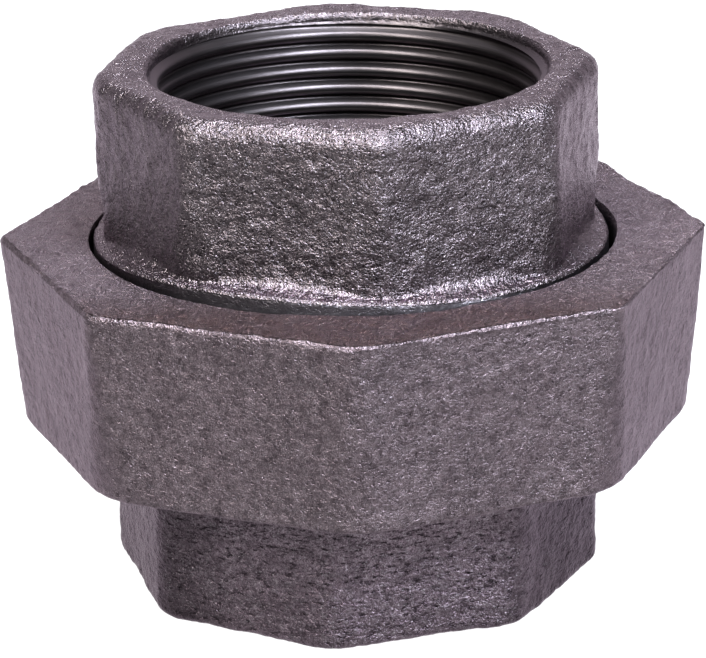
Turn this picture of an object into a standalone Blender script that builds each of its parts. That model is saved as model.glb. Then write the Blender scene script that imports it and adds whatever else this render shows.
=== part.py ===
"""A malleable-iron pipe union for 1 1/2 inch pipe, with a female pipe thread in each end.

Four pieces stand on one vertical axis: the threaded end at the bottom, the gasket on its seat, the tail
end on the gasket, and the union nut, which holds the tail end's collar down and screws onto the barrel of
the threaded end. Units are metres, +Z is up along the axis, and z = 0 is the bottom face.
"""

import math

import bmesh
import bpy

# Threads: 11 to the inch throughout, all right-handed and in phase with each other.
PITCH = 0.002309
THREAD_SEGMENTS = 30
ROUND_SEGMENTS = 60

# Female pipe thread of both ends.
PIPE_MAJOR_R = 0.02390
PIPE_MINOR_R = 0.02242
PIPE_GROOVE_HALF = 0.00096
PIPE_ROOT_HALF = 0.00019
SOCKET_DEPTH = 0.0222
SOCKET_RELIEF = 0.0032
SOCKET_RELIEF_R = 0.0243
SOCKET_MOUTH_R = 0.0247
WATERWAY_R = 0.0210

# Union thread: the nut's groove is wider and deeper than the barrel's ridge by the running clearance.
BARREL_MAJOR_R = 0.0356
BARREL_MINOR_R = 0.0340
BARREL_CREST_HALF = 0.00015
BARREL_BASE_HALF = 0.00080
NUT_MAJOR_R = 0.0360
NUT_MINOR_R = 0.0344
NUT_GROOVE_HALF = 0.00091
NUT_ROOT_HALF = 0.00026

# Heights along the axis.
GAP = 0.0003
NUT_BOTTOM = 0.0194
BARREL_BOTTOM = 0.0200
SEAT = 0.0304
GASKET_THICKNESS = 0.0020
TAIL_BOTTOM = SEAT + GASKET_THICKNESS + 2 * GAP
COLLAR_TOP = 0.0376
LIP_UNDERSIDE = COLLAR_TOP + GAP
NUT_TOP = 0.0427
NECK_TOP = 0.0439
TAIL_TOP = 0.0636

# Outer sizes. An apothem is half the distance across two opposite flats.
END_APOTHEM = 0.0281
END_CORNER_R = 0.0030
END_EDGE_R = 0.0018
END_TURN = math.radians(-6.2)
TAIL_TURN = math.radians(6.3)
NUT_APOTHEM = 0.0399
NUT_TOP_CORNER_R = 0.0020
NUT_LOW_CORNER_R = 0.0180
NUT_EDGE_R = 0.0006
NUT_RIM_R = 0.0396
NUT_RIM_HEIGHT = 0.0014
LIP_HOLE_R = 0.03195
NECK_R = 0.0314
NECK_FILLET_R = 0.0035
COLLAR_R = 0.0338
GASKET_INNER_R = 0.0230
GASKET_OUTER_R = 0.0330

# Helpers that cut or trim run past the surface they work on by this much.
OVERRUN = 0.003


def clear_scene():
    for item in list(bpy.data.objects):
        bpy.data.objects.remove(item, do_unlink=True)


def make_material(name, color, metallic, roughness):
    material = bpy.data.materials.new(name)
    material.use_nodes = True
    shader = material.node_tree.nodes["Principled BSDF"]
    shader.inputs["Base Color"].default_value = (*color, 1.0)
    shader.inputs["Metallic"].default_value = metallic
    shader.inputs["Roughness"].default_value = roughness
    return material


def make_object(name, bm, material=None):
    """An object from a closed bmesh, its faces turned outward and its sharp edges kept sharp."""
    bmesh.ops.recalc_face_normals(bm, faces=bm.faces)
    mesh = bpy.data.meshes.new(name)
    bm.to_mesh(mesh)
    bm.free()
    mesh.shade_smooth()
    mesh.set_sharp_from_angle(angle=math.radians(30))
    obj = bpy.data.objects.new(name, mesh)
    bpy.context.scene.collection.objects.link(obj)
    if material:
        mesh.materials.append(material)
    return obj


def combine(target, tool, operation):
    """Applies a tool solid to the target with an exact Boolean, and leaves the tool out of renders."""
    tool.hide_render = True
    tool.display_type = "WIRE"
    modifier = target.modifiers.new(tool.name, "BOOLEAN")
    modifier.operation = operation
    modifier.solver = "EXACT"
    modifier.object = tool


def around(radius, angle, z):
    return (radius * math.cos(angle), radius * math.sin(angle), z)


def turned(name, profile, segments=ROUND_SEGMENTS, material=None):
    """A solid of revolution about Z from a closed outline of (radius, z) points."""
    bm = bmesh.new()
    rings = []
    for radius, z in profile:
        if radius == 0:
            rings.append([bm.verts.new((0, 0, z))] * segments)
            continue
        ring = [bm.verts.new(around(radius, math.tau * i / segments, z)) for i in range(segments)]
        rings.append(ring)
    for ring, following in zip(rings, rings[1:] + rings[:1]):
        for i in range(segments):
            j = (i + 1) % segments
            corners = [ring[i], ring[j], following[j], following[i]]
            corners = list(dict.fromkeys(corners))
            if len(corners) > 2:
                bm.faces.new(corners)
    return make_object(name, bm, material)


def octagon_outline(apothem, corner_r, turn, corner_steps):
    """Points of an octagon with rounded corners, one corner facing -Y before it is turned."""
    corner_distance = (apothem - corner_r) / math.cos(math.pi / 8)
    points = []
    for k in range(8):
        middle = -math.pi / 2 + turn + k * math.pi / 4
        for step in range(-corner_steps, corner_steps + 1):
            angle = middle + step / corner_steps * math.pi / 8
            x = corner_distance * math.cos(middle) + corner_r * math.cos(angle)
            y = corner_distance * math.sin(middle) + corner_r * math.sin(angle)
            points.append((x, y))
    return points


def octagon_bar(name, stations, turn, corner_steps, material):
    """An octagonal bar through (z, apothem, corner radius) stations."""
    bm = bmesh.new()
    rings = []
    for z, apothem, corner_r in stations:
        outline = octagon_outline(apothem, corner_r, turn, corner_steps)
        rings.append([bm.verts.new((x, y, z)) for x, y in outline])
    count = len(rings[0])
    for low, high in zip(rings, rings[1:]):
        for i in range(count):
            j = (i + 1) % count
            bm.faces.new((low[i], low[j], high[j], high[i]))
    bm.faces.new(rings[0])
    bm.faces.new(rings[-1])
    return make_object(name, bm, material)


def rounded_edge(z_edge, edge_r, inward, apothem, corner_r):
    """Stations that round the end edge of a bar, from its end face; inward points into the bar."""
    stations = []
    for angle in (0, math.pi / 4, math.pi / 2):
        z = z_edge + inward * edge_r * (1 - math.cos(angle))
        stations.append((z, apothem - edge_r * (1 - math.sin(angle)), corner_r))
    return stations


def threaded_rod(name, inner_r, outer_r, base_half, crest_half, z_low, z_high):
    """A right-hand threaded rod with flat ends, its ridge centred where z is the pitch times the turn."""
    form = ((-base_half, inner_r), (-crest_half, outer_r), (crest_half, outer_r), (base_half, inner_r))
    first = math.floor(z_low / PITCH)
    last = math.ceil(z_high / PITCH)
    bm = bmesh.new()
    columns = []
    for i in range(THREAD_SEGMENTS):
        turn = i / THREAD_SEGMENTS
        column = []
        for k in range(first, last):
            for offset, radius in form:
                column.append(bm.verts.new(around(radius, math.tau * turn, (k + turn) * PITCH + offset)))
        columns.append(column)
    rows = len(columns[0])
    per_turn = len(form)
    for i in range(THREAD_SEGMENTS):
        here = columns[i]
        closing = i == THREAD_SEGMENTS - 1
        there = columns[0][per_turn:] if closing else columns[i + 1]
        for j in range(len(there) - 1):
            bm.faces.new((here[j], there[j], there[j + 1], here[j + 1]))
    bottom = [column[0] for column in columns] + columns[0][per_turn:0:-1]
    top = [column[-1] for column in columns] + columns[-1][rows - 2 : rows - 2 - per_turn : -1]
    for loop in (bottom, top):
        centre = bm.verts.new((0, 0, sum(vert.co.z for vert in loop) / len(loop)))
        for vert, following in zip(loop, loop[1:] + loop[:1]):
            bm.faces.new((vert, following, centre))
    return make_object(name, bm)


def cut_pipe_socket(target, mouth, inward):
    """Cuts a pipe thread with its mouth chamfer and end relief; inward is the direction into the iron."""
    end = mouth + inward * SOCKET_DEPTH
    outside = mouth - inward * OVERRUN
    relief_start = end - inward * SOCKET_RELIEF
    chamfer_end = mouth + inward * (SOCKET_MOUTH_R - PIPE_MINOR_R)
    tap_low, tap_high = sorted((outside - inward * PITCH, end - inward * SOCKET_RELIEF / 2))
    tap = threaded_rod(
        f"{target.name}_pipe_tap",
        PIPE_MINOR_R,
        PIPE_MAJOR_R,
        PIPE_GROOVE_HALF,
        PIPE_ROOT_HALF,
        tap_low,
        tap_high,
    )
    chamfer = turned(
        f"{target.name}_mouth_chamfer",
        [
            (0, chamfer_end),
            (PIPE_MINOR_R, chamfer_end),
            (SOCKET_MOUTH_R, mouth),
            (SOCKET_MOUTH_R + OVERRUN, outside),
            (0, outside),
        ],
    )
    relief = turned(
        f"{target.name}_relief",
        [(0, relief_start), (SOCKET_RELIEF_R, relief_start), (SOCKET_RELIEF_R, end), (0, end)],
    )
    for tool in (tap, chamfer, relief):
        combine(target, tool, "DIFFERENCE")


def cut_waterway(target, z_low, z_high):
    bore = turned(
        f"{target.name}_waterway",
        [(0, z_low), (WATERWAY_R, z_low), (WATERWAY_R, z_high), (0, z_high)],
    )
    combine(target, bore, "DIFFERENCE")


def build_threaded_end(material):
    """Octagonal bar below, threaded barrel with a flat seat above."""
    stations = rounded_edge(0, END_EDGE_R, 1, END_APOTHEM, END_CORNER_R)
    stations.append((BARREL_BOTTOM + GAP, END_APOTHEM, END_CORNER_R))
    body = octagon_bar("threaded_end", stations, END_TURN, 1, material)
    barrel = threaded_rod(
        "threaded_end_barrel",
        BARREL_MINOR_R,
        BARREL_MAJOR_R,
        BARREL_BASE_HALF,
        BARREL_CREST_HALF,
        BARREL_BOTTOM - OVERRUN,
        SEAT + OVERRUN,
    )
    depth = BARREL_MAJOR_R - BARREL_MINOR_R
    envelope = turned(
        "threaded_end_envelope",
        [
            (0, BARREL_BOTTOM),
            (BARREL_MINOR_R, BARREL_BOTTOM),
            (BARREL_MAJOR_R + GAP, BARREL_BOTTOM + depth),
            (BARREL_MAJOR_R + GAP, SEAT - depth),
            (BARREL_MINOR_R - GAP, SEAT),
            (0, SEAT),
        ],
    )
    combine(barrel, envelope, "INTERSECT")
    combine(body, barrel, "UNION")
    cut_pipe_socket(body, 0, 1)
    cut_waterway(body, SOCKET_DEPTH - GAP, SEAT + OVERRUN)


def build_union_nut(material):
    """Octagonal bar whose corners round off downward into a circular rim, with a lip and a thread."""
    stations = [
        (NUT_BOTTOM, NUT_RIM_R, NUT_RIM_R - 2 * GAP),
        (NUT_BOTTOM + NUT_RIM_HEIGHT, NUT_APOTHEM, NUT_LOW_CORNER_R),
        *rounded_edge(NUT_TOP, NUT_EDGE_R, -1, NUT_APOTHEM, NUT_TOP_CORNER_R)[::-1],
    ]
    body = octagon_bar("union_nut", stations, 0, 3, material)
    tap = threaded_rod(
        "union_nut_tap",
        NUT_MINOR_R,
        NUT_MAJOR_R,
        NUT_GROOVE_HALF,
        NUT_ROOT_HALF,
        NUT_BOTTOM - OVERRUN,
        TAIL_BOTTOM + PITCH,
    )
    relief = turned(
        "union_nut_bore",
        [
            (0, TAIL_BOTTOM + PITCH / 2),
            (NUT_MAJOR_R + GAP, TAIL_BOTTOM + PITCH / 2),
            (NUT_MAJOR_R + GAP, LIP_UNDERSIDE),
            (LIP_HOLE_R, LIP_UNDERSIDE),
            (LIP_HOLE_R, NUT_TOP + OVERRUN),
            (0, NUT_TOP + OVERRUN),
        ],
    )
    lead_in = turned(
        "union_nut_lead_in",
        [
            (0, NUT_BOTTOM - OVERRUN),
            (NUT_MAJOR_R + GAP + OVERRUN, NUT_BOTTOM - OVERRUN),
            (NUT_MINOR_R - GAP, NUT_BOTTOM + NUT_MAJOR_R - NUT_MINOR_R + 2 * GAP),
            (0, NUT_BOTTOM + NUT_MAJOR_R - NUT_MINOR_R + 2 * GAP),
        ],
    )
    for tool in (tap, relief, lead_in):
        combine(body, tool, "DIFFERENCE")


def build_tail_end(material):
    """Octagonal bar above, round neck and collar below, with a concave fillet where they meet."""
    stations = [
        (NECK_TOP - GAP, END_APOTHEM, END_CORNER_R),
        *rounded_edge(TAIL_TOP, END_EDGE_R, -1, END_APOTHEM, END_CORNER_R)[::-1],
    ]
    body = octagon_bar("tail_end", stations, TAIL_TURN, 1, material)
    fillet = []
    for step in range(5):
        angle = math.pi * step / 8
        radius = NECK_R - NECK_FILLET_R * math.sin(angle)
        fillet.append((radius, NECK_TOP + NECK_FILLET_R * (1 - math.cos(angle))))
    neck = turned(
        "tail_end_neck",
        [
            (0, TAIL_BOTTOM),
            (COLLAR_R - 2 * GAP, TAIL_BOTTOM),
            (COLLAR_R, TAIL_BOTTOM + 2 * GAP),
            (COLLAR_R, COLLAR_TOP),
            (NECK_R, COLLAR_TOP),
            *fillet,
            (0, NECK_TOP + NECK_FILLET_R),
        ],
    )
    combine(body, neck, "UNION")
    cut_pipe_socket(body, TAIL_TOP, -1)
    cut_waterway(body, TAIL_BOTTOM - OVERRUN, TAIL_TOP - SOCKET_DEPTH + GAP)


def build_gasket(material):
    low = SEAT + GAP
    high = low + GASKET_THICKNESS
    profile = [(GASKET_INNER_R, low), (GASKET_OUTER_R, low), (GASKET_OUTER_R, high), (GASKET_INNER_R, high)]
    turned("gasket", profile, ROUND_SEGMENTS, material)


def main():
    clear_scene()
    build_threaded_end(make_material("threaded_end_iron", (0.105, 0.088, 0.098), 0.6, 0.55))
    build_union_nut(make_material("union_nut_iron", (0.120, 0.098, 0.102), 0.6, 0.50))
    build_tail_end(make_material("tail_end_iron", (0.110, 0.095, 0.105), 0.6, 0.50))
    build_gasket(make_material("gasket_fibre", (0.045, 0.045, 0.042), 0.0, 0.85))


main()
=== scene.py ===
"""The looks of the pipe union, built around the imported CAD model.

Each casting is one closed skin. Rings of points run round the axis, and a list of rings follows
the section: up the outside, across the end face, down the bore and back. The threads are true
helices. The skins are then roughened point by point where the iron is as cast, and left smooth
where it was machined. Lengths are in metres.
"""

import math

import bmesh
import bpy
import numpy as np
from mathutils import Matrix, Vector, noise


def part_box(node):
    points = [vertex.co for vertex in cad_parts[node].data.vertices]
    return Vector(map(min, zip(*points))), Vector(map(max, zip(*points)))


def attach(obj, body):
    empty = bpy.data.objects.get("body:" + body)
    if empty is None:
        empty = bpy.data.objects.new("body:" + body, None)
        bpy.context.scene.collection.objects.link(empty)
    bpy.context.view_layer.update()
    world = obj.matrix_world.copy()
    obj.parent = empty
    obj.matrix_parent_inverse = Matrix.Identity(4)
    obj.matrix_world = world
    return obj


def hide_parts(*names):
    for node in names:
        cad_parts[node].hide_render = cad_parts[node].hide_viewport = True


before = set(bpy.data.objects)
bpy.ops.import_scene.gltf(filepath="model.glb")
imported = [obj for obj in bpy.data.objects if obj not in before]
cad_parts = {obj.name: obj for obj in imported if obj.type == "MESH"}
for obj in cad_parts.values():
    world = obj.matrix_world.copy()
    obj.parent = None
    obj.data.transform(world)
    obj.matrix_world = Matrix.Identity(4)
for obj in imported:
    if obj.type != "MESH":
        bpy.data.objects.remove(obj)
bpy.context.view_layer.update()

MM = 0.001
TAU = math.tau
EIGHTH = math.pi / 8

# Heights come from the frame.
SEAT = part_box("threaded_end")[1][2]
END_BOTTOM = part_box("threaded_end")[0][2]
NUT_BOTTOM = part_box("union_nut")[0][2]
NUT_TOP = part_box("union_nut")[1][2]
TAIL_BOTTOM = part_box("tail_end")[0][2]
TAIL_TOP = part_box("tail_end")[1][2]

# Sections. Most are the CAD solids' own. The socket's mouth, the lip's hole, the tail end's flats
# and the nut's lower rim follow the photograph, and differ from the CAD's by up to 1.3 mm.
PITCH = 2.309 * MM
SOCKET_DEPTH = 22.2 * MM
SOCKET_RELIEF = 3.2 * MM
SOCKET_RELIEF_R = 24.3 * MM
SOCKET_MOUTH_R = 24.0 * MM
MOUTH_EDGE = 0.15 * MM
MOUTH_ROLL = 0.6 * MM
MOUTH_DEPTH = 1.1 * MM
WATERWAY_R = 21.0 * MM
BARREL_BOTTOM = NUT_BOTTOM + 0.6 * MM
BARREL_MINOR_R = 34.0 * MM
COLLAR_R = 33.8 * MM
COLLAR_TOP = NUT_TOP - 5.1 * MM
LIP_UNDERSIDE = NUT_TOP - 4.8 * MM
LIP_HOLE_R = 32.05 * MM
NECK_R = 31.4 * MM
NECK_FILLET_R = 3.5 * MM
END_APOTHEM = 28.1 * MM
TAIL_APOTHEM = 28.5 * MM
END_TURN = math.radians(-6.2)
TAIL_TURN = math.radians(6.3)
NUT_APOTHEM = 39.9 * MM
NUT_LOW_APOTHEM = 38.6 * MM
NUT_BORE_R = 36.3 * MM

# Outer radii of the threads: of a male thread's crest, or of a female thread's groove.
PIPE_THREAD_R = 23.90 * MM
PIPE_THREAD_START = -0.36
PIPE_CREST_R = 0.28 * PITCH
BARREL_THREAD_R = 35.6 * MM
NUT_THREAD_R = 36.0 * MM

# The Whitworth form: flanks 27.5 degrees from square to the axis, crests and roots rounded alike.
# The pipe thread's crests are worn rounder than that.
FLANK = math.radians(27.5)
THREAD_ROUND_R = 0.137329 * PITCH

# How many points each skin has round the axis.
END_COUNT = 600
NUT_COUNT = 680
GASKET_COUNT = 240

# How much of the cast skin is left where a cut runs out. 0 is bare, 1 is as cast, and above 1 is
# rougher.
NECK_SCALE = 0.45
MOUTH_SCALE = 0.4
LEAD_SCALE = 0.3
CHIPPED_EDGE_SCALE = 1.8

# Points closer than about this are one point.
WELD = 0.003 * MM


# ---------------------------------------------------------------- rings


def angles(count):
    return np.arange(count) * TAU / count


def ring(radius, z, count):
    """One ring of points; radius and z are numbers or one value for each point."""
    theta = angles(count)
    radius = np.broadcast_to(radius, theta.shape)
    z = np.broadcast_to(z, theta.shape)
    return np.stack([radius * np.cos(theta), radius * np.sin(theta), z], axis=1)


def shares(steps):
    """Equal steps from 0 to 1, leaving out the 0."""
    return np.linspace(0, 1, steps + 1)[1:]


def smooth_step(value):
    value = np.clip(value, 0, 1)
    return value * value * (3 - 2 * value)


def smooth_max(a, b, soft):
    """The larger of two values, rounded over where they are close."""
    share = np.clip(0.5 + 0.5 * (a - b) / soft, 0, 1)
    return b + (a - b) * share + soft * share * (1 - share) / 2


def octagon_radius(count, apothem, corner_r, turn):
    """The radius of a round-cornered octagon at each ring point. Unturned, a corner faces -Y."""
    away = np.abs((angles(count) + math.pi / 2 - turn + EIGHTH) % (2 * EIGHTH) - EIGHTH)
    corner_distance = (apothem - corner_r) / math.cos(EIGHTH)
    on_flat = apothem / np.cos(EIGHTH - away)
    reach = np.maximum(corner_r**2 - (corner_distance * np.sin(away)) ** 2, 0)
    on_corner = corner_distance * np.cos(away) + np.sqrt(reach)
    is_flat = apothem * np.tan(EIGHTH - away) <= (apothem - corner_r) * math.tan(EIGHTH)
    return np.where(is_flat, on_flat, on_corner)


def thread_radius(outer, z, theta, start=0.0, crest_r=THREAD_ROUND_R):
    """The radius of a right-hand thread at each height and angle.

    Its groove reaches the radius outer and starts a share of a pitch up. Its crest is round to
    crest_r."""
    away = np.abs((z / PITCH - theta / TAU - start + 0.5) % 1 - 0.5) * PITCH
    groove_half = THREAD_ROUND_R * math.cos(FLANK)
    crest_half = crest_r * math.cos(FLANK)
    flank_end = PITCH / 2 - crest_half
    in_groove = THREAD_ROUND_R - np.sqrt(THREAD_ROUND_R**2 - np.minimum(away, groove_half) ** 2)
    on_flank = (np.clip(away, groove_half, flank_end) - groove_half) / math.tan(FLANK)
    to_crest = np.clip(PITCH / 2 - away, 0, crest_half)
    on_crest = np.sqrt(crest_r**2 - to_crest**2) - crest_r * math.sin(FLANK)
    return outer - in_groove - on_flank - on_crest


def thread_offsets(crest_r):
    """Heights within one pitch that sample its rounded groove and its rounded crest closely."""
    groove_slopes = (-62.5, -31, 0, 31, 62.5)
    crest_slopes = (-62.5, -47, -31, -16, 0, 16, 31, 47, 62.5)
    groove = [THREAD_ROUND_R * math.sin(math.radians(slope)) for slope in groove_slopes]
    crest = [crest_r * math.sin(math.radians(slope)) for slope in crest_slopes]
    return groove + [PITCH / 2 + offset for offset in crest]


class Skin:
    """A closed skin of ring patches, welded where they meet.

    Each ring is as cast (1) or machined (0). count is how many points the next ring has."""

    def __init__(self, count):
        self.count = count
        self.points = []
        self.cast = []
        self.faces = []
        self.total = 0

    def store(self, rings, cast):
        """Keeps the rings' points and returns their numbers, one row for each ring."""
        points = np.array(rings)
        values = np.array(cast, dtype=float)
        if values.ndim < 2:
            values = np.broadcast_to(values.reshape(-1, 1), points.shape[:2])
        numbers = self.total + np.arange(values.size).reshape(values.shape)
        self.points.append(points.reshape(-1, 3))
        self.cast.append(values.reshape(-1))
        self.total += values.size
        return numbers

    def add(self, rings, cast, seam_shift=0):
        """Quads between neighbouring rings; a helix closes onto the ring seam_shift further on."""
        rows = self.store(rings, cast)
        for column in range(self.count):
            here = rows[:, column]
            there = rows[:, column + 1] if column + 1 < self.count else rows[seam_shift:, 0]
            here = here[: len(there)]
            self.faces += np.stack([here[:-1], there[:-1], there[1:], here[1:]], axis=1).tolist()

    def halve(self, fine, coarse, cast):
        """Joins a ring of points, given as (radius, z), to one with half as many."""
        fine_row = self.store([ring(*fine, self.count)], cast)[0]
        coarse_row = self.store([ring(*coarse, self.count // 2)], cast)[0]
        for i in range(self.count // 2):
            a, b, c = fine_row[2 * i], fine_row[2 * i + 1], fine_row[(2 * i + 2) % self.count]
            d, e = coarse_row[i], coarse_row[(i + 1) % (self.count // 2)]
            self.faces += [[a, b, d], [b, e, d], [b, c, e]]

    def ring(self, radius, z):
        return ring(radius, z, self.count)

    def between(self, start, end, steps, cast):
        """Rings from one (radius, z) to another; each may hold one value for each point."""
        rings = []
        for share in np.linspace(0, 1, steps + 1):
            radius = start[0] + (end[0] - start[0]) * share
            z = start[1] + (end[1] - start[1]) * share
            rings.append(self.ring(radius, z))
        self.add(rings, cast)

    def path(self, points, steps, cast):
        """Straight stretches through (radius, z) points, each with the same number of steps."""
        for start, end in zip(points, points[1:]):
            self.between(start, end, steps, cast)

    def thread(self, outer, z_low, z_high, limit, start=0.0, crest_r=THREAD_ROUND_R):
        """A thread between two heights; limit(z, radius) trims the radius, as a chamfer does."""
        offsets = thread_offsets(crest_r)
        theta = angles(self.count)
        rings = []
        for k in range(math.floor(z_low / PITCH) - 2, math.ceil(z_high / PITCH) + 2):
            for offset in offsets:
                z = np.clip((k + theta / TAU + start) * PITCH + offset, z_low, z_high)
                rings.append(self.ring(limit(z, thread_radius(outer, z, theta, start, crest_r)), z))
        self.add(rings, 0.0, seam_shift=len(offsets))

    def build(self, name):
        """The mesh object, with a point attribute named cast."""
        points = np.concatenate(self.points)
        cast = np.concatenate(self.cast)
        # The shift keeps round sizes away from the borders between the grid's cells.
        border_shift = 0.137
        grid = np.round(points / WELD + border_shift).astype(np.int64)
        _, first, welded = np.unique(grid, axis=0, return_index=True, return_inverse=True)
        welded = welded.reshape(-1).tolist()
        bm = bmesh.new()
        layer = bm.verts.layers.float.new("cast")
        verts = []
        for point, value in zip(points[first].tolist(), cast[first].tolist()):
            vert = bm.verts.new(point)
            vert[layer] = value
            verts.append(vert)
        seen = set()
        for face in self.faces:
            corners = list(dict.fromkeys(welded[number] for number in face))
            key = frozenset(corners)
            if len(corners) > 2 and key not in seen:
                seen.add(key)
                bm.faces.new([verts[corner] for corner in corners])
        bmesh.ops.delete(bm, geom=[v for v in bm.verts if not v.link_faces], context="VERTS")
        bmesh.ops.recalc_face_normals(bm, faces=bm.faces)
        mesh = bpy.data.meshes.new(name)
        bm.to_mesh(mesh)
        bm.free()
        obj = bpy.data.objects.new(name, mesh)
        bpy.context.scene.collection.objects.link(obj)
        return obj


# ---------------------------------------------------------------- castings


def arc_steps(steps):
    """Angles of a quarter turn, both ends included."""
    return [math.pi / 2 * i / steps for i in range(steps + 1)]


def mouth_rings(skin, mouth, inward):
    """The as-cast edge of a socket, from the end face down to where its thread starts."""
    rings, cast = [], []
    for angle in arc_steps(6):
        radius = SOCKET_MOUTH_R + MOUTH_ROLL * (1 - math.sin(angle))
        depth = (MOUTH_DEPTH - MOUTH_EDGE) * (1 - math.cos(angle))
        rings.append(skin.ring(radius, mouth + inward * depth))
        cast.append(1.0 - (1.0 - MOUTH_SCALE) * angle / (math.pi / 2))
    return rings, cast


def socket_thread_radius(skin, z):
    return thread_radius(PIPE_THREAD_R, z, angles(skin.count), PIPE_THREAD_START, PIPE_CREST_R)


def add_pipe_socket(skin, mouth, inward, waterway_end):
    """The threaded socket, from under its as-cast edge to the waterway's far edge.

    From here on the skin's rings have half the points."""
    end = mouth + inward * SOCKET_DEPTH
    relief_start = end - inward * SOCKET_RELIEF
    edge_z = mouth + inward * (MOUTH_DEPTH - MOUTH_EDGE)
    lead_start = mouth + inward * MOUTH_DEPTH
    lead_r = SOCKET_MOUTH_R - MOUTH_EDGE
    half = Skin(skin.count // 2)
    start_radius = np.maximum(lead_r, socket_thread_radius(half, lead_start))
    skin.halve((SOCKET_MOUTH_R, edge_z), (start_radius, lead_start), LEAD_SCALE)
    skin.count //= 2

    def lead_in(z, radius):
        lead_slope = 2.0
        return np.maximum(radius, lead_r - lead_slope * np.abs(z - lead_start))

    low, high = sorted((lead_start, relief_start))
    skin.thread(PIPE_THREAD_R, low, high, lead_in, PIPE_THREAD_START, PIPE_CREST_R)
    edge = socket_thread_radius(skin, relief_start)
    skin.between((edge, relief_start), (SOCKET_RELIEF_R, relief_start), 2, 0.0)
    skin.between((SOCKET_RELIEF_R, relief_start), (SOCKET_RELIEF_R, end), 3, 0.0)
    skin.between((SOCKET_RELIEF_R, end), (WATERWAY_R, end), 3, 0.0)
    skin.between((WATERWAY_R, end), (WATERWAY_R, waterway_end), 8, 1.0)


def tail_end_skin():
    """Collar, neck, flared octagon and threaded socket of the upper end."""
    skin = Skin(END_COUNT)
    theta = angles(END_COUNT)
    bevel = 0.2 * MM
    roll = 0.45 * MM
    blend = 1.0 * MM
    # The casting is uneven: its top is wider at the back, and its corners rounder there and on the
    # right.
    back = smooth_step(0.5 + 0.8 * np.sin(theta - 0.3))
    right = np.maximum(np.cos(theta - 0.6), 0)
    edge_r = (2.2 - 0.3 * back) * MM
    low_corner_r = 9.0 * MM
    corner_r = 2.6 * MM
    top_corner_r = (4.6 + 6.4 * back + 3.0 * right) * MM
    top_apothem = TAIL_APOTHEM + 0.8 * MM * back
    # The lathe cut stands proud of the nut at the front left and runs out at the back right.
    facing = 0.5 + 0.5 * np.cos(theta + math.radians(115))
    neck_top = NUT_TOP + (0.06 + 1.6 * facing**6) * MM
    octagon = octagon_radius(END_COUNT, TAIL_APOTHEM, low_corner_r, TAIL_TURN)
    rings, cast = [], []
    rings.append(skin.ring(NECK_R, neck_top - roll))
    cast.append(NECK_SCALE)
    for angle in arc_steps(4)[1:]:
        radius = NECK_R - roll * (1 - math.cos(angle))
        rings.append(skin.ring(radius, neck_top - roll * (1 - math.sin(angle))))
        cast.append(1.0)
    fillet_r = NECK_FILLET_R - roll
    for angle in arc_steps(14)[1:]:
        flare = NECK_R - roll - fillet_r * math.sin(angle)
        radius = smooth_max(flare, octagon, blend)
        rings.append(skin.ring(radius, neck_top + fillet_r * (1 - math.cos(angle))))
        cast.append(1.0)
    start_radius = smooth_max(NECK_R - roll - fillet_r, octagon, blend)
    fillet_top = neck_top + fillet_r
    side_top = TAIL_TOP - edge_r
    middle = 0.45
    for share in shares(51):
        upper = smooth_step((share - middle) / (1 - middle))
        lower = smooth_step(1 - share / middle)
        corner = corner_r + (top_corner_r - corner_r) * upper + (low_corner_r - corner_r) * lower
        apothem = TAIL_APOTHEM + (top_apothem - TAIL_APOTHEM) * upper
        wanted = octagon_radius(END_COUNT, apothem, corner, TAIL_TURN)
        # The flare becomes the octagon within the lowest sixth.
        radius = start_radius + (wanted - start_radius) * smooth_step(share * 6)
        rings.append(skin.ring(radius, fillet_top + (side_top - fillet_top) * share))
        cast.append(1.0)
    for angle in arc_steps(8)[1:]:
        apothem = top_apothem - edge_r * (1 - math.cos(angle))
        radius = octagon_radius(END_COUNT, apothem, top_corner_r, TAIL_TURN)
        rings.append(skin.ring(radius, side_top + edge_r * math.sin(angle)))
        cast.append(1.0)
    outer = octagon_radius(END_COUNT, top_apothem - edge_r, top_corner_r, TAIL_TURN)
    mouth_start = SOCKET_MOUTH_R + MOUTH_ROLL
    for share in shares(5)[:-1]:
        rings.append(skin.ring(outer + (mouth_start - outer) * share, TAIL_TOP))
        cast.append(1.0)
    edge_rings, edge_cast = mouth_rings(skin, TAIL_TOP, -1)
    skin.add(rings + edge_rings, cast + edge_cast)

    neck_low = (neck_top - roll - 0.2 * MM)[::2]
    skin.halve((NECK_R, neck_top - roll), (NECK_R, neck_low), NECK_SCALE)
    add_pipe_socket(skin, TAIL_TOP, -1, TAIL_BOTTOM)
    skin.path(
        [
            (WATERWAY_R, TAIL_BOTTOM),
            (COLLAR_R - 3 * bevel, TAIL_BOTTOM),
            (COLLAR_R, TAIL_BOTTOM + 3 * bevel),
            (COLLAR_R, COLLAR_TOP - bevel),
            (COLLAR_R - bevel, COLLAR_TOP),
            (NECK_R + bevel, COLLAR_TOP),
            (NECK_R, COLLAR_TOP + bevel),
            (NECK_R, neck_low),
        ],
        2,
        0.0,
    )
    return skin


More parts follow.
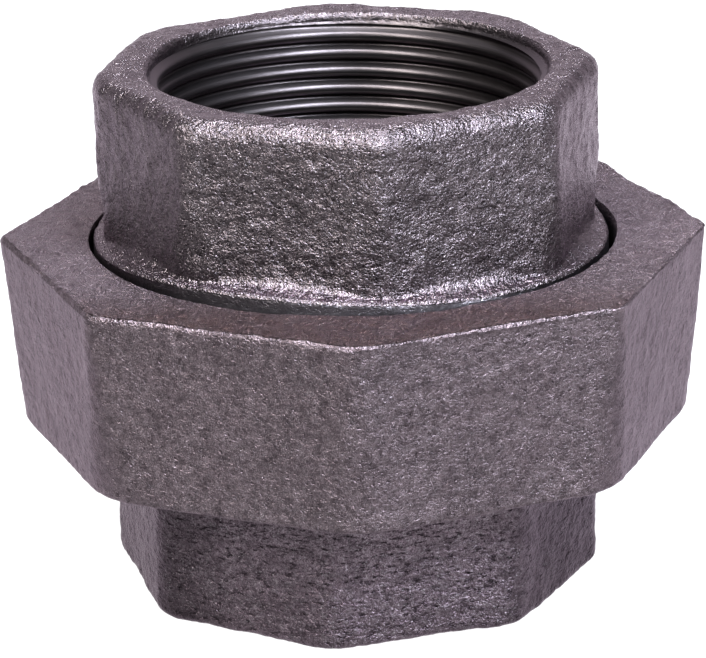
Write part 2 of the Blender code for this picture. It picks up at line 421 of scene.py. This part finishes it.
def threaded_end_skin():
    """Octagonal end, union thread, seat and threaded socket of the lower end."""
    skin = Skin(END_COUNT)
    edge_r = 1.0 * MM
    corner_r = 5.5 * MM
    rings, cast = mouth_rings(skin, END_BOTTOM, 1)
    rings.reverse()
    cast.reverse()
    outer = octagon_radius(END_COUNT, END_APOTHEM - edge_r, corner_r, END_TURN)
    mouth_start = SOCKET_MOUTH_R + MOUTH_ROLL
    for share in shares(5)[:-1]:
        rings.append(skin.ring(mouth_start + (outer - mouth_start) * share, END_BOTTOM))
        cast.append(1.0)
    for angle in arc_steps(7):
        apothem = END_APOTHEM - edge_r * (1 - math.sin(angle))
        radius = octagon_radius(END_COUNT, apothem, corner_r, END_TURN)
        rings.append(skin.ring(radius, END_BOTTOM + edge_r * (1 - math.cos(angle))))
        cast.append(1.0)
    side = octagon_radius(END_COUNT, END_APOTHEM, corner_r, END_TURN)
    side_low = END_BOTTOM + edge_r
    for share in shares(42):
        rings.append(skin.ring(side, side_low + (BARREL_BOTTOM - side_low) * share))
        cast.append(1.0)
    for share in shares(6):
        rings.append(skin.ring(side + (BARREL_MINOR_R - side) * share, BARREL_BOTTOM))
        cast.append(1.0 - share)
    skin.add(rings, cast)

    shoulder = BARREL_BOTTOM + MOUTH_EDGE
    skin.halve((BARREL_MINOR_R, BARREL_BOTTOM), (BARREL_MINOR_R, shoulder), 0.0)
    add_pipe_socket(skin, END_BOTTOM, 1, SEAT)
    seat_edge = BARREL_MINOR_R - 0.3 * MM

    def ends(z, radius):
        radius = np.minimum(radius, BARREL_MINOR_R + z - shoulder)
        return np.minimum(radius, seat_edge + SEAT - z)

    skin.thread(BARREL_THREAD_R, shoulder, SEAT, ends)
    skin.between((seat_edge, SEAT), (WATERWAY_R, SEAT), 8, 0.0)
    return skin


def union_nut_skin():
    """Octagon drafted towards its lower rim, lip with its hole, and the union thread inside."""
    skin = Skin(NUT_COUNT)
    bevel = 0.3 * MM
    edge_r = 0.5 * MM
    low_edge_r = 0.6 * MM
    top_corner_r = 2.4 * MM
    low_corner_r = 10.0 * MM
    rings, cast = [], []
    rim = octagon_radius(NUT_COUNT, NUT_LOW_APOTHEM - low_edge_r, low_corner_r, 0)
    bore_edge = NUT_BORE_R + bevel
    for share in np.linspace(0, 1, 4)[:-1]:
        rings.append(skin.ring(bore_edge + (rim - bore_edge) * share, NUT_BOTTOM))
        cast.append(min(1.0, 2 * share))
    for angle in arc_steps(4):
        apothem = NUT_LOW_APOTHEM - low_edge_r * (1 - math.sin(angle))
        radius = octagon_radius(NUT_COUNT, apothem, low_corner_r, 0)
        rings.append(skin.ring(radius, NUT_BOTTOM + low_edge_r * (1 - math.cos(angle))))
        cast.append(1.0)
    side_low = NUT_BOTTOM + low_edge_r
    side_top = NUT_TOP - edge_r
    for share in shares(56):
        corner = low_corner_r + (top_corner_r - low_corner_r) * share
        apothem = NUT_LOW_APOTHEM + (NUT_APOTHEM - NUT_LOW_APOTHEM) * share
        radius = octagon_radius(NUT_COUNT, apothem, corner, 0)
        rings.append(skin.ring(radius, side_low + (side_top - side_low) * share))
        cast.append(1.0)
    for angle in arc_steps(6)[1:]:
        apothem = NUT_APOTHEM - edge_r * (1 - math.cos(angle))
        radius = octagon_radius(NUT_COUNT, apothem, top_corner_r, 0)
        rings.append(skin.ring(radius, side_top + edge_r * math.sin(angle)))
        cast.append(CHIPPED_EDGE_SCALE)
    outer = octagon_radius(NUT_COUNT, NUT_APOTHEM - edge_r, top_corner_r, 0)
    hole_edge = LIP_HOLE_R + bevel / 2
    for share in shares(21):
        rings.append(skin.ring(outer + (hole_edge - outer) * share, NUT_TOP))
        cast.append(1.0)
    skin.add(rings, cast)

    thread_top = TAIL_BOTTOM + PITCH / 2
    hole_low = LIP_UNDERSIDE + bevel
    skin.halve((hole_edge, NUT_TOP), (LIP_HOLE_R, NUT_TOP - bevel), 1.0)
    skin.halve((NUT_BORE_R + bevel, NUT_BOTTOM), (NUT_BORE_R, NUT_BOTTOM + bevel), 0.0)
    skin.count //= 2
    skin.path(
        [
            (LIP_HOLE_R, NUT_TOP - bevel),
            (LIP_HOLE_R, hole_low),
            (LIP_HOLE_R + bevel, LIP_UNDERSIDE),
            (NUT_BORE_R, LIP_UNDERSIDE),
            (NUT_BORE_R, thread_top),
        ],
        3,
        0.0,
    )
    edge = thread_radius(NUT_THREAD_R, thread_top, angles(skin.count))
    skin.between((NUT_BORE_R, thread_top), (edge, thread_top), 2, 0.0)

    def lead_in(z, radius):
        return np.maximum(radius, NUT_BORE_R - (z - NUT_BOTTOM - bevel))

    skin.thread(NUT_THREAD_R, NUT_BOTTOM + bevel, thread_top, lead_in)
    return skin


def gasket_skin():
    """Flat seal ring with its cut edges slightly bulged by the load on it."""
    (_, _, low), (outer, _, high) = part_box("gasket")
    inner = 23.0 * MM
    bulge = 0.15 * MM
    skin = Skin(GASKET_COUNT)
    skin.between((inner, low), (outer - bulge, low), 24, 1.0)
    skin.between((outer - bulge, high), (inner, high), 24, 1.0)
    for base, sign in ((outer - bulge, 1), (inner, -1)):
        rings = []
        for share in np.linspace(0, 1, 9):
            radius = base + sign * bulge * math.sin(math.pi * share)
            rings.append(skin.ring(radius, low + (high - low) * share))
        skin.add(rings, 1.0)
    return skin


# ---------------------------------------------------------------- cast surface


def roughen(obj, layers, hollows=(), drift=0.0):
    """Moves each as-cast point along its normal, by layers of noise and by round hollows.

    A layer is (size, height). A hollow is (centre, reach, depth), and one of negative depth is a
    swelling. drift is how far the cast outside lies to the right of the axis that the bore was cut
    on."""
    mesh = obj.data
    total = len(mesh.vertices)
    points = np.empty(total * 3)
    mesh.vertices.foreach_get("co", points)
    points = points.reshape(-1, 3)
    normals = np.empty(total * 3)
    mesh.vertex_normals.foreach_get("vector", normals)
    normals = normals.reshape(-1, 3)
    cast = np.empty(total)
    mesh.attributes["cast"].data.foreach_get("value", cast)
    lift = np.zeros(total)
    moving = np.nonzero(cast > 0)[0]
    for number, (size, height) in enumerate(layers):
        shift = Vector((7.3 * number, 3.1, 5.7))
        for i in moving:
            lift[i] += height * noise.noise(Vector(points[i] / size) + shift)
    fall = 2.5
    for centre, reach, depth in hollows:
        away = np.linalg.norm(points - np.array(centre), axis=1) / reach
        lift -= depth * np.exp(-(away**2) * fall)
    points += normals * (lift * cast)[:, None]
    points[:, 0] += drift * cast
    mesh.vertices.foreach_set("co", points.reshape(-1))
    mesh.update()


def on_top(angle_deg, radius, z):
    """A point on a level face, by its direction round the axis and its millimetres from it."""
    angle = math.radians(angle_deg)
    return (radius * MM * math.cos(angle), radius * MM * math.sin(angle), z)


# ---------------------------------------------------------------- materials


class Tree:
    """Short calls for making a material's nodes."""

    def __init__(self, name):
        self.material = bpy.data.materials.new(name)
        self.material.use_nodes = True
        self.nodes = self.material.node_tree.nodes
        self.links = self.material.node_tree.links
        self.shader = self.nodes["Principled BSDF"]
        places = self.nodes.new("ShaderNodeTexCoord").outputs
        self.coords = places["Object"]
        self.normal = places["Normal"]

    def put(self, socket, value):
        if isinstance(value, bpy.types.NodeSocket):
            self.links.new(value, socket)
        else:
            socket.default_value = value

    def make(self, kind, inputs=(), **settings):
        node = self.nodes.new(kind)
        for key, value in settings.items():
            setattr(node, key, value)
        for key, value in dict(inputs).items():
            self.put(node.inputs[key], value)
        return node

    def noise(self, size, detail=2.0, roughness=0.5, vector=None):
        """Noise from 0 to 1 with features of about the given size."""
        place = {"Vector": vector or self.coords, "Scale": 1 / size}
        node = self.make("ShaderNodeTexNoise", {**place, "Detail": detail, "Roughness": roughness})
        return node.outputs["Fac"]

    def cells(self, size):
        """How far each point is from the middle of its grain."""
        inputs = {"Vector": self.coords, "Scale": 1 / size}
        return self.make("ShaderNodeTexVoronoi", inputs).outputs["Distance"]

    def stretched(self, x, y, z):
        """Places for a texture, where a number under 1 draws its features out that way."""
        inputs = {"Vector": self.coords, "Scale": (x, y, z)}
        return self.make("ShaderNodeMapping", inputs).outputs["Vector"]

    def math(self, operation, a, b=0.0, c=0.0):
        node = self.nodes.new("ShaderNodeMath")
        node.operation = operation
        for socket, value in zip(node.inputs, (a, b, c)):
            self.put(socket, value)
        return node.outputs[0]

    def span(self, value, low, high, to_low=0.0, to_high=1.0):
        """Value stretched from one range to another and clamped to it."""
        inputs = {0: value, 1: low, 2: high, 3: to_low, 4: to_high}
        return self.make("ShaderNodeMapRange", inputs).outputs[0]

    def varied(self, value, low, high):
        """Noise, which seldom leaves 0.3 to 0.7, as a factor from low to high."""
        return self.span(value, 0.3, 0.7, low, high)

    def times(self, first, *others):
        for other in others:
            first = self.math("MULTIPLY", first, other)
        return first

    def more(self, share, extra):
        """A factor of 1, and of 1 + extra where the share is 1."""
        return self.math("MULTIPLY_ADD", share, extra, 1.0)

    def weighed(self, *layers):
        """The sum of (value, weight) layers."""
        total = self.math("MULTIPLY", *layers[0])
        for value, weight in layers[1:]:
            total = self.math("MULTIPLY_ADD", value, weight, total)
        return total

    def mix(self, share, a, b):
        """A colour between two others."""
        node = self.make("ShaderNodeMix", data_type="RGBA")
        self.put(node.inputs[0], share)
        self.put(node.inputs[6], a)
        self.put(node.inputs[7], b)
        return node.outputs[2]

    def blend(self, share, a, b):
        """A number between two others."""
        node = self.make("ShaderNodeMix", data_type="FLOAT")
        self.put(node.inputs[0], share)
        self.put(node.inputs[2], a)
        self.put(node.inputs[3], b)
        return node.outputs[0]

    def scaled(self, color, factor):
        """A colour times a number."""
        node = self.make("ShaderNodeVectorMath", operation="SCALE")
        self.put(node.inputs[0], color)
        self.put(node.inputs["Scale"], factor)
        return node.outputs[0]

    def attribute(self, name):
        return self.make("ShaderNodeAttribute", attribute_name=name).outputs["Fac"]

    def bump(self, distance, height):
        """Turns the shader's normal by bumps of the given height at most."""
        inputs = {"Strength": 1.0, "Distance": distance, "Height": height}
        self.put(self.shader.inputs["Normal"], self.make("ShaderNodeBump", inputs).outputs[0])


OILED_IRON = (0.039, 0.034, 0.035)
BARE_IRON = (0.255, 0.243, 0.265)
BARE_CRYSTAL = (0.55, 0.54, 0.55)
BROWN_TINT = (0.62, 0.49, 0.41)


def machined(tree, place, fine, cut, painted_neck_shading):
    """Colour, roughness and relief of faces cut on a lathe. cut is their colour on the outside."""
    # Tool marks run round the axis, so they follow only the height and the distance from it.
    squares = tree.math("MULTIPLY_ADD", place["Y"], place["Y"], tree.times(place["X"], place["X"]))
    radius = tree.math("SQRT", squares)
    section = tree.make("ShaderNodeCombineXYZ", {0: radius, 1: place["Z"]}).outputs[0]
    marks = tree.noise(0.16 * MM, 3.0, 0.6, section)
    smear = tree.noise(5.0 * MM, 2.0)
    shade = tree.times(tree.varied(smear, 0.8, 1.15), tree.varied(marks, 0.85, 1.15))

    # The pipe threads hold dark oil, and the faces cut on the outside are barer.
    outside = tree.span(radius, SOCKET_RELIEF_R, SOCKET_RELIEF_R + 1.2 * MM)
    if painted_neck_shading:
        # Painted shade and a painted highlight on the faces cut on the outside: dark far to the
        # left and right, and brightest a little right of the front.
        left = tree.span(place["X"], -26 * MM, -16 * MM, 0.1, 0.36)
        front = tree.span(place["X"], 4 * MM, 13 * MM, 0.0, 0.6)
        right = tree.span(place["X"], 18 * MM, 25 * MM, 1.0, 0.1)
        patch = tree.times(tree.math("ADD", left, front), right)
        shade = tree.times(shade, tree.blend(outside, 1.0, patch))
    color = tree.scaled(tree.mix(outside, (*OILED_IRON, 1), (*cut, 1)), shade)
    roughness = tree.math("MULTIPLY_ADD", outside, 0.04, tree.varied(marks, 0.36, 0.43))
    relief = tree.weighed((marks, 0.10), (tree.times(fine, outside), 0.7))
    return color, roughness, relief


def iron(
    name,
    base,
    grain,
    relief,
    contrast,
    glint,
    rough=0.28,
    pit_stretch=(1, 1, 1),
    brown_top=0.0,
    side_painted_shade=1.0,
    cut=BARE_IRON,
    painted_neck_shading=False,
    top_painted_light=1.0,
    top_relief=1.0,
):
    """As-cast black iron where the cast attribute is 1, and machined iron where it is 0.

    grain is the size of the finest grains and relief the height of their bumps. contrast is how
    much the scale's colour varies, glint how bright its bare crystals are and rough its least
    roughness. A number under 1 in pit_stretch draws the pits out that way. Where a face looks up,
    the scale is coarser by top_relief, its colour lighter by the factor top_painted_light, which is
    painted light, and at the front darker and browner by brown_top, from 0 to 1.
    side_painted_shade is the factor on its colour far to the left and right, which is painted
    shade. cut is for the machined faces, and painted_neck_shading puts painted shade and a painted
    highlight on the neck."""
    tree = Tree(name)
    cast = tree.attribute("cast")
    place = tree.make("ShaderNodeSeparateXYZ", {0: tree.coords}).outputs
    up = tree.make("ShaderNodeSeparateXYZ", {0: tree.normal}).outputs["Z"]
    # The grains are somewhat longer along Y.
    tree.coords = tree.stretched(1.0, 0.6, 1.0)
    faces_up = tree.span(up, 0.84, 0.97)
    browned = tree.span(place["Y"], -32 * MM, -22 * MM, brown_top, 0.04 * brown_top)
    browned = tree.times(faces_up, browned)

    # Sand-cast relief in five sizes, and the pits that gas and sand left.
    swell = tree.noise(grain * 7, 2.0)
    coarse = tree.noise(grain * 2.6, 3.0, 0.6)
    fine = tree.noise(grain, 2.0, 0.7)
    crystal = tree.cells(grain * 1.4)
    lump = tree.cells(grain * 3.4)
    pits = tree.span(tree.noise(grain * 2.6, 2.0, 0.5, tree.stretched(*pit_stretch)), 0.58, 0.70)
    sizes = ((crystal, -0.8), (fine, 1.1), (lump, -0.9), (coarse, 1.3), (swell, 1.7))
    height = tree.weighed(*sizes, (pits, -0.9))
    height = tree.times(height, tree.more(faces_up, top_relief - 1), tree.more(browned, 0.9))

    # Scale is thinner and greyer on the grains' tops and darker where soot stayed. The
    # colour is also lighter on the tops and darker in the hollows, which is painted light and
    # shade.
    grit = tree.math("MULTIPLY_ADD", coarse, 0.7, tree.math("MULTIPLY_ADD", pits, -0.35, fine))
    tone = tree.noise(14 * MM, 3.0)
    mottle = tree.noise(1.3 * MM, 4.0, 0.65)
    sooty = tree.span(tree.noise(grain * 6, 5.0, 0.75, tree.stretched(*pit_stretch)), 0.47, 0.64)
    shade = tree.times(
        tree.span(grit, 0.55, 1.15, 1 - 0.55 * contrast, 1 + 0.55 * contrast),
        tree.varied(tone, 0.9, 1.1),
        tree.varied(mottle, 0.74, 1.26),
        # Painted light: faces that look up get a lighter colour.
        tree.more(faces_up, top_painted_light - 1),
        # Painted shade: the colour is darker far to the left and right.
        tree.span(tree.math("ABSOLUTE", place["X"]), 15 * MM, 24 * MM, 1.0, side_painted_shade),
        tree.more(sooty, -0.45),
    )
    grey = sum(base) / 3
    worn = tree.span(grit, 0.75, 1.15, 0.0, 0.5)
    color = tree.scaled(tree.mix(worn, (*base, 1), (grey, grey, grey, 1)), shade)
    tinted = tree.make("ShaderNodeVectorMath", {0: color, 1: BROWN_TINT}, operation="MULTIPLY")
    color = tree.mix(tree.times(browned, tree.varied(mottle, 0.4, 1.0)), color, tinted.outputs[0])

    # Bare crystal faces catch the light, in patches, and fine dust lies over everything.
    fleck = tree.span(tree.noise(grain * 0.8, 0.0, 0.5, tree.stretched(1, -1, 1)), 0.66, 0.76)
    patch = tree.span(tree.noise(3.4 * MM, 1.0), 0.35, 0.6)
    fleck = tree.times(fleck, patch, glint)
    dust = tree.span(tree.noise(0.12 * MM, 1.0), 0.35, 0.65, 0.7, 1.3)
    color = tree.scaled(tree.mix(fleck, color, (*BARE_CRYSTAL, 1)), dust)
    roughness = tree.math("MULTIPLY_ADD", fleck, -0.15, tree.varied(fine, rough, rough + 0.14))

    cut_color, cut_roughness, cut_height = machined(tree, place, fine, cut, painted_neck_shading)
    tree.put(tree.shader.inputs["Base Color"], tree.mix(cast, cut_color, color))
    tree.put(tree.shader.inputs["Roughness"], tree.blend(cast, cut_roughness, roughness))
    tree.shader.inputs["Metallic"].default_value = 1.0
    tree.shader.inputs["Specular Tint"].default_value = (0.98, 0.86, 0.96, 1)
    tree.bump(relief, tree.blend(cast, cut_height, height))
    return tree.material


def seal_rubber(name):
    """Dark fibre-filled rubber."""
    tree = Tree(name)
    fibres = tree.noise(0.5 * MM, 3.0, 0.6, tree.stretched(1.0, 0.25, 1.0))
    speck = tree.noise(1.6 * MM, 2.0)
    shade = tree.times(tree.varied(fibres, 0.7, 1.3), tree.varied(speck, 0.85, 1.15))
    tree.put(tree.shader.inputs["Base Color"], tree.scaled((0.045, 0.045, 0.042), shade))
    tree.put(tree.shader.inputs["Roughness"], tree.varied(fibres, 0.7, 0.9))
    tree.bump(0.04 * MM, fibres)
    return tree.material


# ---------------------------------------------------------------- assembly


def finish_piece(obj, node, material):
    obj.data.shade_smooth()
    obj.data.set_sharp_from_angle(angle=math.radians(40))
    obj.data.materials.append(material)
    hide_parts(node)
    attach(obj, node)


def build_tail_end():
    tail = tail_end_skin().build("tail_end_casting")
    layers = [
        (9.0 * MM, 0.22 * MM),
        (2.6 * MM, 0.13 * MM),
        (1.1 * MM, 0.10 * MM),
        (0.55 * MM, 0.05 * MM),
    ]
    swelling = ((-26.5 * MM, 11.0 * MM, TAIL_TOP - 1.5 * MM), 12.0 * MM, -0.5 * MM)
    roughen(tail, layers, [swelling])
    material = iron(
        "tail_iron",
        base=(0.083, 0.067, 0.0725),
        grain=0.19 * MM,
        relief=0.104 * MM,
        contrast=1.3,
        glint=0.1,
        rough=0.21,
        painted_neck_shading=True,
        top_painted_light=1.5,
        top_relief=1.7,
    )
    finish_piece(tail, "tail_end", material)


def build_threaded_end():
    lower = threaded_end_skin().build("threaded_end_casting")
    layers = [
        (9.0 * MM, 0.22 * MM),
        (2.4 * MM, 0.10 * MM),
        (1.1 * MM, 0.08 * MM),
        (0.55 * MM, 0.05 * MM),
    ]
    roughen(lower, layers)
    material = iron(
        "threaded_iron",
        base=(0.084, 0.062, 0.074),
        grain=0.24 * MM,
        relief=0.13 * MM,
        contrast=1.3,
        glint=0.15,
        pit_stretch=(0.6, 0.6, 1.6),
        # Painted shade on the faces far to the left and right.
        side_painted_shade=0.35,
    )
    finish_piece(lower, "threaded_end", material)


def build_union_nut():
    nut = union_nut_skin().build("union_nut_casting")
    layers = [
        (12.0 * MM, 0.20 * MM),
        (3.2 * MM, 0.09 * MM),
        (1.2 * MM, 0.07 * MM),
        (0.6 * MM, 0.045 * MM),
    ]
    hollows = [
        (on_top(205, 35.5, NUT_TOP), 2.2 * MM, 0.25 * MM),
        (on_top(190, 38.0, NUT_TOP), 1.6 * MM, 0.20 * MM),
        (on_top(-18, 36.0, NUT_TOP), 2.0 * MM, 0.20 * MM),
        (on_top(-8, 38.5, NUT_TOP), 1.5 * MM, 0.18 * MM),
    ]
    roughen(nut, layers, hollows, drift=0.25 * MM)
    material = iron(
        "nut_iron",
        base=(0.0875, 0.0665, 0.0735),
        grain=0.17 * MM,
        relief=0.095 * MM,
        contrast=1.4,
        glint=0.1,
        rough=0.32,
        brown_top=1.0,
        cut=(0.050, 0.047, 0.050),
        top_painted_light=1.12,
        top_relief=3.2,
    )
    finish_piece(nut, "union_nut", material)


def build_gasket():
    seal = gasket_skin().build("gasket_ring")
    finish_piece(seal, "gasket", seal_rubber("seal_rubber"))


# ---------------------------------------------------------------- studio


def softbox(name, azimuth, elevation, distance, width, height, power, color):
    """A rectangular light aimed at the part. Azimuth 0 is in front and positive is to the right."""
    middle = Vector((0, 0, (NUT_TOP + NUT_BOTTOM) / 2))
    a, e = math.radians(azimuth), math.radians(elevation)
    away = Vector((math.sin(a) * math.cos(e), -math.cos(a) * math.cos(e), math.sin(e)))
    data = bpy.data.lights.new(name, "AREA")
    data.shape = "RECTANGLE"
    data.size = width
    data.size_y = height
    data.energy = power
    data.color = color
    obj = bpy.data.objects.new(name, data)
    obj.location = middle + away * distance
    obj.rotation_euler = away.to_track_quat("Z", "Y").to_euler()
    bpy.context.scene.collection.objects.link(obj)


def surround():
    """Pale walls, dimmer on the camera's side of the part than behind it."""
    world = bpy.data.worlds.new("surround")
    world.use_nodes = True
    nodes, links = world.node_tree.nodes, world.node_tree.links
    background = nodes["Background"]
    background.inputs["Color"].default_value = (1.0, 0.98, 1.0, 1)
    place = nodes.new("ShaderNodeTexCoord")
    parts = nodes.new("ShaderNodeSeparateXYZ")
    depth = nodes.new("ShaderNodeMapRange")
    links.new(place.outputs["Generated"], parts.inputs[0])
    links.new(parts.outputs["Y"], depth.inputs[0])
    depth.inputs["From Min"].default_value = 0.25
    depth.inputs["From Max"].default_value = 0.95
    depth.inputs["To Min"].default_value = 0.12
    depth.inputs["To Max"].default_value = 1.0
    links.new(depth.outputs[0], background.inputs["Strength"])
    return world


def white_floor():
    """A sheet of paper lit from below, 8 m square."""
    mesh = bpy.data.meshes.new("floor")
    half = 4.0
    corners = [(-half, -half, 0), (half, -half, 0), (half, half, 0), (-half, half, 0)]
    mesh.from_pydata(corners, [], [(0, 1, 2, 3)])
    floor = bpy.data.objects.new("floor", mesh)
    floor.location.z = END_BOTTOM
    bpy.context.scene.collection.objects.link(floor)
    paper = bpy.data.materials.new("floor_paper")
    paper.use_nodes = True
    shader = paper.node_tree.nodes["Principled BSDF"]
    shader.inputs["Base Color"].default_value = (0.08, 0.08, 0.08, 1)
    shader.inputs["Roughness"].default_value = 0.9
    shader.inputs["Emission Color"].default_value = (1, 1, 1, 1)
    shader.inputs["Emission Strength"].default_value = 0.95
    mesh.materials.append(paper)


def studio():
    white_floor()
    softbox("key_left", -40, 57, 0.9, 0.17, 0.90, 32.5, (1.0, 0.985, 0.965))
    softbox("key_right", 39, 57, 0.9, 0.17, 0.90, 56.0, (0.80, 0.87, 1.0))
    softbox("fill_right", 46, 13, 1.0, 0.50, 0.40, 5.0, (0.93, 0.94, 1.0))
    bpy.context.scene.world = surround()
    bpy.context.scene.view_settings.view_transform = "Standard"


def photo_camera():
    """A long lens in front of the part, raised about 18 degrees and rolled about 1 degree."""
    distance = 0.424
    raised = math.radians(17.85)
    pitch = math.radians(19.5)
    roll = math.radians(-1.12)
    forward = Vector((0, math.cos(pitch), -math.sin(pitch)))
    right = Vector((1, 0, 0))
    up = right.cross(forward)
    rolled_right = right * math.cos(roll) + up * math.sin(roll)
    rolled_up = up * math.cos(roll) - right * math.sin(roll)
    data = bpy.data.cameras.new("camera")
    data.lens = 177.1
    data.sensor_width = 36.0
    data.clip_start = 0.01
    camera = bpy.data.objects.new("camera", data)
    place = Vector((0, -distance * math.cos(raised), NUT_TOP + distance * math.sin(raised)))
    axes = Matrix((rolled_right, rolled_up, -forward)).transposed().to_4x4()
    camera.matrix_world = Matrix.Translation(place) @ axes
    bpy.context.scene.collection.objects.link(camera)
    bpy.context.scene.camera = camera


build_tail_end()
build_threaded_end()
build_union_nut()
build_gasket()
studio()
photo_camera()
